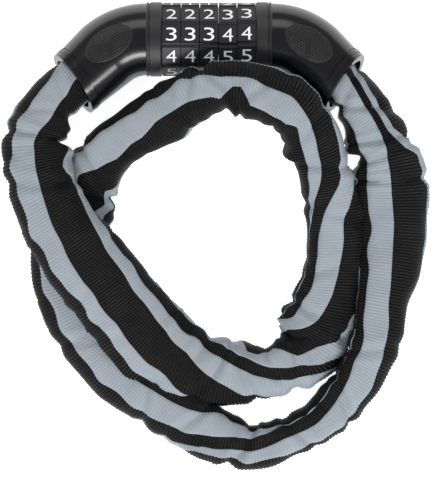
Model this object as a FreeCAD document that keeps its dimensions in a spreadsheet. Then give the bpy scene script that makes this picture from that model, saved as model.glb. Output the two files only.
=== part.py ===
import FreeCAD, Part
import math
import os

# Row frame, in millimetres: X along the dial barrel, the lock lies flat on Z = 0,
# and the origin is the bottom centre of the lock without its chain.

os.makedirs("parts", exist_ok=True)
doc = FreeCAD.newDocument("chain_lock")
dims = doc.addObject("Spreadsheet::Sheet", "dims")
Vector = FreeCAD.Vector
Rotation = FreeCAD.Rotation

DIMENSIONS = {
    "axis_offset": 6.7,
    "axis_height": 14.0,
    "dial_pitch": 7.0,
    "dial_width": 6.7,
    "dial_radius": 13.9,
    "facet_apothem": 13.45,
    "hub_radius": 12.0,
    "hub_gap": 0.06,
    "facet_groove": 1.05,
    "index_angle": 4.5,
    "code_ring_radius": 8.2,
    "code_ring_width": 6.5,
    "code_recess_width": 3.4,
    "code_recess_radius": 7.8,
    "tube_radius": 6.0,
    "tube_bore": 4.3,
    "running_gap": 0.05,
    "tube_left": 22.0,
    "tube_right": 18.9,
    "slot_width": 3.2,
    "bolt_radius": 4.25,
    "bolt_tip": 16.9,
    "fin_width": 2.6,
    "fin_length": 2.4,
    "fin_radius": 7.5,
    "collar_radius": 14.0,
    "collar_inner": 17.55,
    "collar_outer": 23.5,
    "spigot_radius": 11.2,
    "elbow_radius": 13.6,
    "elbow_wall": 2.2,
    "elbow_bend": 23.2,
    "elbow_turn": 42.0,
    "mouth_reach": 16.5,
    "mouth_taper": 0.079,
    "mouth_tilt": 34.5,
    "mouth_lean": 12.0,
    "rim_width": 3.3,
    "rim_height": 0.35,
    "grip_height": 0.3,
    "grip_long": 10.0,
    "grip_short": 5.8,
    "anchor_far": 35.2,
    "anchor_slot": 24.6,
    "anchor_below": 4.5,
    "anchor_above": 6.0,
    "anchor_half_height": 5.3,
    "wire": 4.0,
    "link_bow": 4.8,
    "link_straight": 10.4,
    "pin_radius": 2.4,
    "cross_pin_radius": 1.2,
    "sleeve_diameter": 18.0,
    "sleeve_wall": 1.0,
    "ferrule_gap": 0.05,
    "ferrule_wall": 0.7,
    "ferrule_length": 4.0,
    "ferrule_inset": 0.6,
}
for row, (alias, value) in enumerate(DIMENSIONS.items(), start=1):
    dims.set("A%d" % row, alias)
    dims.set("B%d" % row, str(value))
    dims.setAlias("B%d" % row, alias)
doc.recompute()

AXIS_Y = dims.axis_offset
AXIS_Z = dims.axis_height
ALONG_X = Rotation(Vector(0, 1, 0), 90)
BARREL_AXIS = {
    "Placement.Base.y": "dims.axis_offset",
    "Placement.Base.z": "dims.axis_height",
}
nodes = []


def bound(kind, name, cells, rotation=None):
    """A primitive whose sizes and place follow the dimension sheet."""
    obj = doc.addObject(kind, name)
    if rotation:
        obj.Placement = FreeCAD.Placement(Vector(0, 0, 0), rotation)
    for prop, expression in cells.items():
        obj.setExpression(prop, str(expression))
    return obj


def rod(name, radius, length, start):
    """A cylinder on the barrel's axis, from start towards +X."""
    cells = {"Radius": radius, "Height": length, "Placement.Base.x": start}
    return bound("Part::Cylinder", name, {**cells, **BARREL_AXIS}, ALONG_X)


def block(name, x, y, z):
    """A box between pairs of bounds, where y and z are measured from the barrel's axis."""
    cells = {
        "Length": "(%s) - (%s)" % (x[1], x[0]),
        "Width": "(%s) - (%s)" % (y[1], y[0]),
        "Height": "(%s) - (%s)" % (z[1], z[0]),
        "Placement.Base.x": x[0],
        "Placement.Base.y": "dims.axis_offset + (%s)" % y[0],
        "Placement.Base.z": "dims.axis_height + (%s)" % z[0],
    }
    return bound("Part::Box", name, cells)


def upright(name, radius, x, y, z):
    """A vertical cylinder at x, y between a pair of heights measured from the axis."""
    cells = {
        "Radius": radius,
        "Height": "(%s) - (%s)" % (z[1], z[0]),
        "Placement.Base.x": x,
        "Placement.Base.y": "dims.axis_offset + (%s)" % y,
        "Placement.Base.z": "dims.axis_height + (%s)" % z[0],
    }
    return bound("Part::Cylinder", name, cells)


def cut(name, base, tool):
    obj = doc.addObject("Part::Cut", name)
    obj.Base = base
    obj.Tool = tool
    return obj


def merge(kind, name, shapes):
    obj = doc.addObject(kind, name)
    obj.Shapes = shapes
    return obj


def fuse(name, *shapes):
    obj = merge("Part::MultiFuse", name, list(shapes))
    obj.Refine = True
    return obj


def common(name, *shapes):
    return merge("Part::MultiCommon", name, list(shapes))


def revolved(name, profile):
    """A solid of revolution on the barrel's axis, from (x, radius) corners."""
    outline = doc.addObject("Part::Polygon", name + "_outline")
    outline.Nodes = [Vector(x, AXIS_Y, AXIS_Z + r) for x, r in profile]
    outline.Close = True
    obj = doc.addObject("Part::Revolution", name)
    obj.Source = outline
    obj.Axis = Vector(1, 0, 0)
    obj.Base = Vector(0, AXIS_Y, AXIS_Z)
    obj.Angle = 360
    obj.Solid = True
    return obj


def mirrored(name, source):
    obj = doc.addObject("Part::Mirroring", name)
    obj.Source = source
    obj.Base = Vector(0, 0, 0)
    obj.Normal = Vector(1, 0, 0)
    return obj


def node(label, obj):
    obj.Label = label
    nodes.append((label, obj))
    return obj


# ---------------------------------------------------------------- dials and code rings
def number_dial(k, centre, angle):
    """Ten flat number pads with a rounded groove between neighbours, first pad at angle."""
    start = centre - dims.dial_width / 2
    round_blank = rod("dial_round_%d" % k, "dims.dial_radius", "dims.dial_width", start)
    facets = bound(
        "Part::Prism",
        "dial_facets_%d" % k,
        {
            "Circumradius": "dims.facet_apothem / cos(18 deg)",
            "Height": "dims.dial_width",
            "Placement.Base.x": start,
            **BARREL_AXIS,
        },
        Rotation(Vector(1, 0, 0), 18 - angle) * ALONG_X,
    )
    facets.Polygon = 10
    blank = common("dial_blank_%d" % k, round_blank, facets)
    grooves = []
    for n in range(10):
        spoke = math.radians(angle + 18 + 36 * n)
        reach = dims.dial_radius + 0.15
        groove = bound(
            "Part::Cylinder",
            "dial_groove_%d_%d" % (k, n),
            {"Radius": "dims.facet_groove", "Height": "dims.dial_width + 2"},
            ALONG_X,
        )
        groove.Placement.Base = Vector(
            start - 1,
            AXIS_Y + reach * math.sin(spoke),
            AXIS_Z + reach * math.cos(spoke),
        )
        grooves.append(groove)
    hub_width = dims.dial_pitch - dims.hub_gap
    hub = rod("dial_hub_%d" % k, "dims.hub_radius", hub_width, centre - hub_width / 2)
    blank = fuse("dial_body_%d" % k, blank, hub)
    bore = rod("dial_bore_%d" % k, "dims.code_ring_radius", "dims.dial_width + 2", start - 1)
    tools = fuse("dial_tools_%d" % k, bore, *grooves)
    node("number_dial_%d" % k, cut("dial_cut_%d" % k, blank, tools))


def code_ring(k, centre):
    """A sleeve inside the dial that lets a bolt fin turn free but pass at one notch only."""
    start = centre - dims.code_ring_width / 2
    recess_start = centre - dims.code_recess_width / 2
    ring = rod("code_round_%d" % k, "dims.code_ring_radius", "dims.code_ring_width", start)
    bore = rod(
        "code_bore_%d" % k,
        "dims.tube_radius + dims.running_gap",
        "dims.code_ring_width + 2",
        start - 1,
    )
    recess = rod(
        "code_recess_%d" % k, "dims.code_recess_radius", "dims.code_recess_width", recess_start
    )
    notch = block(
        "code_notch_%d" % k,
        (start - 1, start + dims.code_ring_width + 1),
        ("-dims.slot_width / 2", "dims.slot_width / 2"),
        ("0", "dims.code_recess_radius"),
    )
    tools = fuse("code_tools_%d" % k, bore, recess, notch)
    node("code_ring_%d" % k, cut("code_cut_%d" % k, ring, tools))


dial_centres = [dims.dial_pitch * (k - 3) for k in range(1, 6)]
# How far each dial rests from its exact index position, in degrees.
DIAL_SLACK = [0, 0, 0, -1.2, 1.5]
for k, centre in enumerate(dial_centres, start=1):
    number_dial(k, centre, dims.index_angle + DIAL_SLACK[k - 1])
    code_ring(k, centre)

# ---------------------------------------------------------------- core tube and its rings
RING_START = 17.7
RING_END = 18.5
core = rod(
    "core_round", "dims.tube_radius", "dims.tube_left + dims.tube_right", "-dims.tube_left"
)
core_bore = rod(
    "core_bore", "dims.tube_bore", "dims.tube_left + dims.tube_right + 2", "-dims.tube_left - 1"
)
core_slot = block(
    "core_slot",
    (-17.2, 20),
    ("-dims.slot_width / 2", "dims.slot_width / 2"),
    ("0", "dims.tube_radius + 1"),
)
core_groove = revolved(
    "core_groove", [(RING_START, 5.5), (RING_START, 7), (RING_END, 7), (RING_END, 5.5)]
)
core_pin_hole = upright("core_pin_hole", "dims.cross_pin_radius", -20.7, 0, (-8, 8))
core_tools = fuse("core_tools", core_bore, core_slot, core_groove, core_pin_hole)
node("core_tube", cut("core_cut", core, core_tools))

ring_blank = revolved(
    "ring_blank", [(RING_START, 5.5), (RING_START, 7.6), (RING_END, 7.6), (RING_END, 5.5)]
)
ring_gap = block("ring_gap", (17, 19), (-2.2, 2.2), (0, 9))
node("retaining_ring", cut("ring_cut", ring_blank, ring_gap))

node(
    "spring_washer",
    revolved(
        "washer",
        [(-18.55, 6.1), (-19.05, 7.95), (-18.55, 7.95), (-18.05, 6.1)],
    ),
)


# ---------------------------------------------------------------- collars
def collar(name, bore, counterbore, depth):
    """The end ring beside the dials, on the left, with two turned ring lines."""
    inner = dims.collar_inner
    outer = dims.collar_outer
    r = dims.collar_radius
    profile = [
        (-inner, counterbore),
        (-inner, r - 0.5),
        (-inner - 0.5, r),
        (-outer + 1.5, r),
        (-outer + 1.3, r - 0.4),
        (-outer + 0.9, r - 0.4),
        (-outer + 0.7, r),
        (-outer + 0.3, r),
        (-outer, r - 0.3),
        (-outer, dims.spigot_radius),
        (-outer - 1.6, dims.spigot_radius),
        (-outer - 1.6, 8.2),
        (-22.0, 8.2),
        (-22.0, bore),
        (-inner - depth, bore),
        (-inner - depth, counterbore),
    ]
    return revolved(name, profile)


left_collar = collar("left_collar_turned", dims.tube_radius, 8.4, 1.5)
left_hole = upright("left_collar_hole", "dims.cross_pin_radius", -20.7, 0, (-8, 8))
node("left_collar", cut("left_collar_cut", left_collar, left_hole))
node("core_pin", upright("core_pin_rod", "dims.cross_pin_radius", -20.7, 0, (-8, 8)))

right_turned = collar("right_collar_turned", dims.bolt_radius, 8.6, 1.5)
right_mirror = mirrored("right_collar_mirror", right_turned)
right_hole = upright("right_collar_hole", "dims.cross_pin_radius", 20.7, 0, (-8, 8))
node("right_collar", cut("right_collar_cut", right_mirror, right_hole))
node("bolt_pin", upright("bolt_pin_rod", "dims.cross_pin_radius", 20.7, 0, (-8, 8)))

# ---------------------------------------------------------------- finned bolt
shaft = rod("bolt_shaft", "dims.bolt_radius", "dims.bolt_tip + 22", "-dims.bolt_tip")
fins = [
    block(
        "bolt_fin_%d" % k,
        (centre - dims.fin_length / 2, centre + dims.fin_length / 2),
        ("-dims.fin_width / 2", "dims.fin_width / 2"),
        (0, "dims.fin_radius"),
    )
    for k, centre in enumerate(dial_centres, start=1)
]
finned = fuse("bolt_finned", shaft, *fins)
bolt_hole = upright("bolt_hole", "dims.cross_pin_radius", 20.7, 0, (-8, 8))
node("lock_bolt", cut("bolt_cut", finned, bolt_hole))

# ---------------------------------------------------------------- elbows
turn = math.radians(90 + dims.elbow_turn)
BEND_CENTRE = Vector(-dims.collar_outer, AXIS_Y - dims.elbow_bend, AXIS_Z)
LEG_START = BEND_CENTRE + Vector(math.cos(turn), math.sin(turn), 0) * dims.elbow_bend
LEG = Vector(-math.sin(turn), math.cos(turn), 0)
MOUTH = LEG_START + LEG * dims.mouth_reach
FACE = 180 + dims.mouth_tilt


def elbow_solid(name, inset):
    """The left elbow's bend and tapering leg, shrunk by inset, running past its mouth."""
    bend = bound(
        "Part::Torus",
        name + "_bend",
        {
            "Radius1": "dims.elbow_bend",
            "Radius2": "dims.elbow_radius - (%s)" % inset,
            "Angle3": "dims.elbow_turn",
        },
        Rotation(Vector(0, 0, 1), 90),
    )
    bend.Placement.Base = BEND_CENTRE
    leg = bound(
        "Part::Cone",
        name + "_leg",
        {
            "Radius1": "dims.elbow_radius - (%s)" % inset,
            "Radius2": "dims.elbow_radius - (%s) - dims.mouth_taper * 30" % inset,
            "Height": "30",
        },
        Rotation(Vector(0, 0, 1), LEG),
    )
    leg.Placement.Base = LEG_START
    return fuse(name, bend, leg)


def mouth_slab(name, near, far):
    """The space between two planes parallel to the left mouth, measured outwards from it."""
    slab = bound("Part::Box", name, {"Length": far - near, "Width": "60", "Height": "60"})
    facing = Rotation(Vector(0, 0, 1), FACE) * Rotation(Vector(0, 1, 0), -dims.mouth_lean)
    corner = MOUTH + facing.multVec(Vector(near, -30, -30))
    slab.Placement = FreeCAD.Placement(corner, facing)
    return slab


outer_elbow = elbow_solid("elbow_outer", "0")
groove_floor = elbow_solid("elbow_groove_floor", "0.45")
rim_elbow = elbow_solid("elbow_rim", "-dims.rim_height")
groove_band = mouth_slab("rim_groove_band", -dims.rim_width - 0.7, -dims.rim_width)
groove = cut("rim_groove", groove_band, groove_floor)
rim_band = mouth_slab("rim_band", -dims.rim_width, 0)
rim_line = mouth_slab("rim_line", -dims.rim_width / 2 - 0.25, -dims.rim_width / 2 + 0.25)
rim = cut("mouth_rim", common("mouth_rim_blank", rim_elbow, rim_band), rim_line)
shell = fuse("elbow_shell", cut("elbow_grooved", outer_elbow, groove), rim)
hollow = elbow_solid("elbow_hollow", "dims.elbow_wall")
beyond = mouth_slab("beyond_mouth", 0, 40)
trimmed = cut("elbow_trimmed", shell, fuse("elbow_tools", hollow, beyond))
node("left_elbow", trimmed)
node("right_elbow", mirrored("right_elbow_mirror", trimmed))

# Oval ribbed grip panel on the front of each elbow.
GRIP_CENTRE = Vector(-37.2, AXIS_Y - 2.6, AXIS_Z)
oval = doc.addObject("Part::Ellipse", "grip_oval")
oval.setExpression("MajorRadius", "dims.grip_long")
oval.setExpression("MinorRadius", "dims.grip_short")
oval.Placement = FreeCAD.Placement(GRIP_CENTRE, Rotation(Vector(0, 0, 1), 32))
prism = doc.addObject("Part::Extrusion", "grip_prism")
prism.Base = oval
prism.DirMode = "Custom"
prism.Dir = Vector(0, 0, 1)
prism.LengthFwd = 20
prism.Solid = True
grip_skin = cut("grip_skin", elbow_solid("grip_outer", "-dims.grip_height"), outer_elbow)
grip = common("grip_panel", grip_skin, prism)
node("left_grip_panel", grip)
node("right_grip_panel", mirrored("right_grip_mirror", grip))

# ---------------------------------------------------------------- chain anchors
BEND_SHARE = 0.5
pin_turn = math.radians(90 + dims.elbow_turn * BEND_SHARE)
PIN = BEND_CENTRE + Vector(math.cos(pin_turn), math.sin(pin_turn), 0) * dims.elbow_bend
PIN_Y = round(PIN.y - AXIS_Y, 3)
PIN_X = round(PIN.x, 3)


def anchor(name):
    """The left fork: a plate on the tube's end and two ears either side of the last link."""
    body = block(
        name + "_body",
        ("-dims.anchor_far", -22.0),
        ("%s - dims.anchor_below" % PIN_Y, "%s + dims.anchor_above" % PIN_Y),
        ("-dims.anchor_half_height", "dims.anchor_half_height"),
    )
    slot = block(
        name + "_slot",
        (-40, "-dims.anchor_slot"),
        (-12, 12),
        ("-dims.wire / 2 - 0.3", "dims.wire / 2 + 0.3"),
    )
    hole = upright(name + "_hole", "dims.pin_radius", PIN_X, PIN_Y, (-9, 9))
    return cut(name, body, fuse(name + "_tools", slot, hole))


def anchor_pin(name):
    """The riveted pin through the fork, with a flat head at each end."""
    top = dims.anchor_half_height
    stem = upright(name + "_stem", "dims.pin_radius", PIN_X, PIN_Y, (-top - 1, top + 1))
    upper = upright(name + "_upper", "dims.pin_radius + 1.2", PIN_X, PIN_Y, (top, top + 1))
    lower = upright(name + "_lower", "dims.pin_radius + 1.2", PIN_X, PIN_Y, (-top - 1, -top))
    return fuse(name, stem, upper, lower)


left_anchor = anchor("left_anchor_fork")
left_rivet = anchor_pin("left_anchor_rivet")
node("left_chain_anchor", left_anchor)
node("left_anchor_pin", left_rivet)
node("right_chain_anchor", mirrored("right_anchor_mirror", left_anchor))
node("right_anchor_pin", mirrored("right_rivet_mirror", left_rivet))

# ---------------------------------------------------------------- sleeved chain
# Corners of the route from the left mouth, twice round the loop, to the right mouth.
ROUTE = [
    Vector(*corner)
    for corner in [
        (-43.8, -3.7, 14),
        (-57, -15.5, 14),
        (-66.5, -29.5, 19),
        (-65, -46, 26),
        (-54, -66, 28),
        (-39.5, -86, 26.5),
        (-21.5, -109, 18.5),
        (-1.5, -119.5, 11),
        (18.5, -122, 9),
        (36, -118, 9),
        (45.3, -102, 9),
        (47, -76, 9),
        (45, -46, 13),
        (36, -22.5, 26),
        (20, -11.5, 29),
        (2, -10, 29),
        (-16.5, -20, 21),
        (-37.5, -33, 12),
        (-52, -54, 9),
        (-57, -76, 9),
        (-49.5, -100, 9),
        (-33.5, -120.5, 9),
        (-11, -138.5, 9),
        (15.5, -148, 9),
        (42, -138.5, 9),
        (60, -118, 11),
        (66, -91.5, 13),
        (69.5, -63, 13),
        (68.7, -38.5, 13.5),
        (60, -18.5, 14),
        (43.8, -3.7, 14),
    ]
]


def direction(start, end):
    step = end - start
    return step / step.Length


def rounded_route(corners):
    """Straight runs joined by tangent arcs, as one wire, with the arcs' radii."""
    edges = []
    radii = []
    here = corners[0]
    for before, corner, after in zip(corners, corners[1:], corners[2:]):
        back = direction(corner, before)
        ahead = direction(corner, after)
        half_turn = (math.pi - back.getAngle(ahead)) / 2
        trim = 0.45 * min((before - corner).Length, (after - corner).Length)
        radius = trim / math.tan(half_turn)
        inward = direction(Vector(0, 0, 0), back + ahead)
        middle = corner + inward * (radius / math.cos(half_turn) - radius)
        start = corner + back * trim
        end = corner + ahead * trim
        edges.append(Part.LineSegment(here, start).toShape())
        edges.append(Part.Arc(start, middle, end).toShape())
        radii.append(round(radius, 1))
        here = end
    edges.append(Part.LineSegment(here, corners[-1]).toShape())
    return Part.Wire(edges), radii


route_wire, route_radii = rounded_route(ROUTE)
print("arc radii, mm:", route_radii)
route = doc.addObject("Part::Feature", "sleeve_route")
route.Shape = route_wire


def swept(name, radius):
    """A round bar along the sleeve's route."""
    ring = bound("Part::Circle", name + "_ring", {"Radius": radius})
    ring.Placement = FreeCAD.Placement(
        ROUTE[0], Rotation(Vector(0, 0, 1), direction(ROUTE[0], ROUTE[1]))
    )
    bar = doc.addObject("Part::Sweep", name)
    bar.Sections = [ring]
    bar.Spine = (route, ["Edge%d" % (n + 1) for n in range(len(route_wire.Edges))])
    bar.Solid = True
    bar.Frenet = False
    return bar


sleeve_outer = swept("sleeve_outer", "dims.sleeve_diameter / 2")
sleeve_inner = swept("sleeve_inner", "dims.sleeve_diameter / 2 - dims.sleeve_wall")
node("sleeve", cut("sleeve_cut", sleeve_outer, sleeve_inner))


def link_solid():
    """One welded link: two straight sides and two round bows."""
    bow = dims.link_bow
    half = dims.link_straight / 2
    wire = dims.wire / 2
    pieces = []
    for side in (-1, 1):
        start = Vector(-half, side * bow, 0)
        pieces.append(Part.makeCylinder(wire, 2 * half, start, Vector(1, 0, 0)))
        bend = Part.makeTorus(bow, wire, Vector(0, 0, 0), Vector(0, 0, 1), 0, 360, 180)
        bend.Placement = FreeCAD.Placement(
            Vector(side * half, 0, 0), Rotation(Vector(0, 0, 1), -90 * side)
        )
        pieces.append(bend)
    return pieces[0].fuse(pieces[1:]).removeSplitter().Solids[0]


class Track:
    """The chain's centreline, read by distance along it."""

    def __init__(self, points):
        self.points = points
        self.marks = [0.0]
        for a, b in zip(points, points[1:]):
            self.marks.append(self.marks[-1] + (b - a).Length)
        self.length = self.marks[-1]

    def at(self, distance):
        low, high = 0, len(self.marks) - 1
        while high - low > 1:
            n = (low + high) // 2
            if self.marks[n] <= distance:
                low = n
            else:
                high = n
        a, b = self.points[low], self.points[low + 1]
        return a + (b - a) * ((distance - self.marks[low]) / (b - a).Length)

    def placed(self, distance):
        """A link's centre and heading, lying halfway between the curve and its chord."""
        first = max(distance - LINK_REACH, 0)
        last = min(distance + LINK_REACH, self.length)
        back, ahead = self.at(first), self.at(last)
        return (self.at((first + last) / 2) + (back + ahead) / 2) / 2, direction(back, ahead)


left_pin = Vector(PIN_X, AXIS_Y + PIN_Y, AXIS_Z)
right_pin = Vector(-PIN_X, AXIS_Y + PIN_Y, AXIS_Z)
LEAD = 12.0
before_pin = left_pin + direction(ROUTE[0], left_pin) * LEAD
after_pin = right_pin + direction(ROUTE[-1], right_pin) * LEAD
middle_of_track = route_wire.discretize(Distance=0.5)
track = Track([before_pin, left_pin] + middle_of_track + [right_pin, after_pin])
LINK_COUNT = 49
PIN_SLACK = 0.25
LINK_REACH = dims.link_straight / 2 + dims.link_bow
END_OFFSET = LEAD + LINK_REACH - dims.wire / 2 - dims.pin_radius - PIN_SLACK


def march(gap):
    """Link positions along the track with neighbouring bows' wires gap apart at the middle."""
    places = [END_OFFSET]
    while len(places) < LINK_COUNT:
        centre, heading = track.placed(places[-1])
        end = centre + heading * LINK_REACH
        low, high = places[-1] + 8, places[-1] + 2 * LINK_REACH
        for _ in range(24):
            middle = (low + high) / 2
            other, way = track.placed(min(middle, track.length))
            passed = (end - (other - way * LINK_REACH)).dot(way)
            if passed > gap:
                low = middle
            else:
                high = middle
        places.append((low + high) / 2)
    return places


low, high = 3.0, 7.0
for _ in range(20):
    gap = (low + high) / 2
    if march(gap)[-1] > track.length - END_OFFSET:
        low = gap
    else:
        high = gap
print("chain: track %.1f mm, bow spacing %.2f mm" % (track.length, gap))

pattern = link_solid()
links = []
for n, distance in enumerate(march(gap)):
    centre, heading = track.placed(distance)
    level = direction(Vector(0, 0, 0), Vector(0, 0, 1).cross(heading))
    upward = heading.cross(level)
    roll = 90 * (n % 2) + min(45, 15 * min(n, LINK_COUNT - 1 - n))
    spin = Rotation(heading, roll)
    link = pattern.copy()
    link.Placement = FreeCAD.Placement(
        centre, spin * Rotation(heading, level, upward, "XZY")
    )
    links.append(link)
chain = doc.addObject("Part::Feature", "chain_links")
chain.Shape = Part.makeCompound(links)
node("chain", chain)


# ---------------------------------------------------------------- sleeve ferrules
def ferrule(name):
    """A crimped band around the sleeve's end, just inside the left mouth."""
    inner = "dims.sleeve_diameter / 2 + dims.ferrule_gap"
    facing = Rotation(Vector(0, 0, 1), direction(ROUTE[0], ROUTE[1]))
    start = ROUTE[0] + direction(ROUTE[0], ROUTE[1]) * dims.ferrule_inset
    rings = []
    for part, radius in (("outer", inner + " + dims.ferrule_wall"), ("inner", inner)):
        cells = {"Radius": radius, "Height": "dims.ferrule_length"}
        ring = bound("Part::Cylinder", name + "_" + part, cells)
        ring.Placement = FreeCAD.Placement(start, facing)
        rings.append(ring)
    return cut(name, rings[0], rings[1])


left_ferrule = ferrule("ferrule_band")
node("left_sleeve_ferrule", left_ferrule)
node("right_sleeve_ferrule", mirrored("right_ferrule_mirror", left_ferrule))

doc.recompute()

# ---------------------------------------------------------------- checks and export
for obj in doc.Objects:
    if "Invalid" in obj.State or "Error" in obj.State:
        raise RuntimeError("%s did not build: %s" % (obj.Name, obj.State))
for label, obj in nodes:
    if obj.Shape.isNull() or not obj.Shape.isValid() or not obj.Shape.Solids:
        raise RuntimeError("%s has no valid solid" % label)
    print("%-22s solids %2d volume %9.1f mm3" % (label, len(obj.Shape.Solids), obj.Shape.Volume))
outer_radius = dims.sleeve_diameter / 2
section = math.pi * (outer_radius**2 - (outer_radius - dims.sleeve_wall) ** 2)
print("sleeve: section x length = %.1f mm3" % (section * route_wire.Length))
print("sleeve: length %.1f mm" % route_wire.Length)
for label, obj in nodes:
    obj.Shape.exportStep("parts/%s.step" % label)
body_box = FreeCAD.BoundBox()
for label, obj in nodes:
    if label not in ("sleeve", "chain"):
        body_box.add(obj.Shape.BoundBox)
print("lock without chain:", body_box)
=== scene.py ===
import math

import bmesh
import bpy
import numpy as np
from mathutils import Matrix, Vector, noise


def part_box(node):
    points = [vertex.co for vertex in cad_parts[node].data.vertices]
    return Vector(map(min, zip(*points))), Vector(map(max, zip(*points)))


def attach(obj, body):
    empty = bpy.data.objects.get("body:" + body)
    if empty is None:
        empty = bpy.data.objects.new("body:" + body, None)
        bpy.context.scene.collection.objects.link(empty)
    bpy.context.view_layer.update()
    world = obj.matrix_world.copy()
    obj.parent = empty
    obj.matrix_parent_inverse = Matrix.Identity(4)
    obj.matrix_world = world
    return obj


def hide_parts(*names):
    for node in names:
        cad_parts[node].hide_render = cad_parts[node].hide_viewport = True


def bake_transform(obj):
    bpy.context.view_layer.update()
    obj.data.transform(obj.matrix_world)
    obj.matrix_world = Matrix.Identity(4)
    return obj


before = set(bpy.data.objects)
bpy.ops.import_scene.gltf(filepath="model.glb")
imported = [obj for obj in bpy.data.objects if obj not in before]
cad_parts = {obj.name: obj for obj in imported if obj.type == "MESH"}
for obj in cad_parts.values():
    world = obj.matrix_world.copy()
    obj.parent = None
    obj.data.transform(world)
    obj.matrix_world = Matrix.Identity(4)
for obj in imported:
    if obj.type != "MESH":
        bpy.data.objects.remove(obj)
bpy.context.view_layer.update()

MM = 0.001
ROOT = "barrel"
BOLT = "bolt_end"
DIALS = 5
scene = bpy.context.scene

# The barrel's axis, and the elbows that bend away from it, in metres.
LEFT_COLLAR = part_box("left_collar")
AXIS_Y = (LEFT_COLLAR[0][1] + LEFT_COLLAR[1][1]) / 2
AXIS_Z = (LEFT_COLLAR[0][2] + LEFT_COLLAR[1][2]) / 2

# ------------------------------------------------------------------ camera
# It looks straight down, and its frame is measured at the height of the barrel's axis.
FRAME_SPAN = 0.1815
CAMERA_DISTANCE = 0.85
CAMERA_CENTRE = (0.0028, -0.0692)
AXIS_HEIGHT = 0.014
SENSOR = 36.0
camera_data = bpy.data.cameras.new("camera")
camera_data.sensor_width = SENSOR
camera_data.lens = SENSOR * CAMERA_DISTANCE / FRAME_SPAN
camera = bpy.data.objects.new("camera", camera_data)
camera.location = (*CAMERA_CENTRE, CAMERA_DISTANCE + AXIS_HEIGHT)
scene.collection.objects.link(camera)
scene.camera = camera


# ------------------------------------------------------------------ helpers
def new_mesh(name, verts, faces):
    """A smooth-shaded object in the scene."""
    mesh = bpy.data.meshes.new(name)
    mesh.from_pydata([tuple(v) for v in verts], [], [tuple(f) for f in faces])
    mesh.polygons.foreach_set("use_smooth", [True] * len(mesh.polygons))
    mesh.update()
    obj = bpy.data.objects.new(name, mesh)
    scene.collection.objects.link(obj)
    return obj


class Nodes:
    """A material's node tree, built a node at a time."""

    def __init__(self, name, **values):
        self.material = bpy.data.materials.new(name)
        self.material.use_nodes = True
        self.tree = self.material.node_tree
        self.shader = self.tree.nodes["Principled BSDF"]
        for key, value in values.items():
            self.shader.inputs[key.replace("_", " ")].default_value = value

    def add(self, kind, inputs=None, **settings):
        node = self.tree.nodes.new(kind)
        for key, value in settings.items():
            setattr(node, key, value)
        for key, value in (inputs or {}).items():
            if isinstance(value, bpy.types.NodeSocket):
                self.tree.links.new(value, node.inputs[key])
            else:
                node.inputs[key].default_value = value
        return node

    def math(self, operation, a, b=0.0):
        return self.add("ShaderNodeMath", {0: a, 1: b}, operation=operation).outputs[0]

    def noise(self, scale, detail=3.0, rough=0.5, vector=None):
        node = self.add(
            "ShaderNodeTexNoise", {"Scale": scale, "Detail": detail, "Roughness": rough}
        )
        vector = vector or self.add("ShaderNodeTexCoord").outputs["Object"]
        self.tree.links.new(vector, node.inputs["Vector"])
        return node.outputs["Fac"]

    def ramp(self, factor, *stops):
        node = self.add("ShaderNodeValToRGB", {"Fac": factor})
        ramp = node.color_ramp
        while len(ramp.elements) < len(stops):
            ramp.elements.new(0.5)
        for element, (place, colour) in zip(ramp.elements, stops):
            element.position = place
            element.color = (*colour, 1.0)
        return node.outputs["Color"]

    def spread(self, factor, low, high):
        node = self.add("ShaderNodeMapRange", {"Value": factor, "To Min": low, "To Max": high})
        return node.outputs["Result"]

    def bump(self, height, distance, strength=1.0):
        node = self.add(
            "ShaderNodeBump", {"Height": height, "Distance": distance, "Strength": strength}
        )
        self.link(node.outputs["Normal"], "Normal")

    def link(self, socket, name):
        self.tree.links.new(socket, self.shader.inputs[name])


def paint(node_name, material):
    """Gives a CAD node its material, on every slot it has."""
    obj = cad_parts[node_name]
    if not obj.material_slots:
        obj.data.materials.append(material)
    for slot in obj.material_slots:
        slot.material = material


def grey(value):
    return (value, value, value)


# ------------------------------------------------------------------ the sleeve's route
# Control points of the sleeve's line in millimetres, from inside the left mouth,
# twice round the loop, into the right mouth.
ROUTE = [
    (-43.8, -3.7, 14),
    (-59, -12.8, 14),
    (-67, -29.3, 16),
    (-65, -46, 19),
    (-54, -66, 20.5),
    (-39.5, -86, 19),
    (-21.5, -109, 12),
    (-1.5, -119.5, 8),
    (18.5, -122, 8.5),
    (35.5, -116.8, 9),
    (45.3, -102, 8.5),
    (47, -76, 8.5),
    (45, -46, 14),
    (36, -22.5, 25.4),
    (20, -12.6, 29.8),
    (2, -10.7, 29.5),
    (-16.5, -20.1, 20.9),
    (-37.5, -33, 10),
    (-52, -54, 6.8),
    (-57, -76, 6.6),
    (-49.5, -100, 6.6),
    (-33.5, -120.5, 6.8),
    (-11, -138.5, 7.5),
    (15.5, -149, 8.5),
    (42, -138.5, 9),
    (60, -118, 12.5),
    (66, -91.5, 12.5),
    (69.5, -63, 10),
    (68.7, -38.5, 12),
    (60, -18.5, 14),
    (43.8, -3.7, 14),
]
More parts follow.
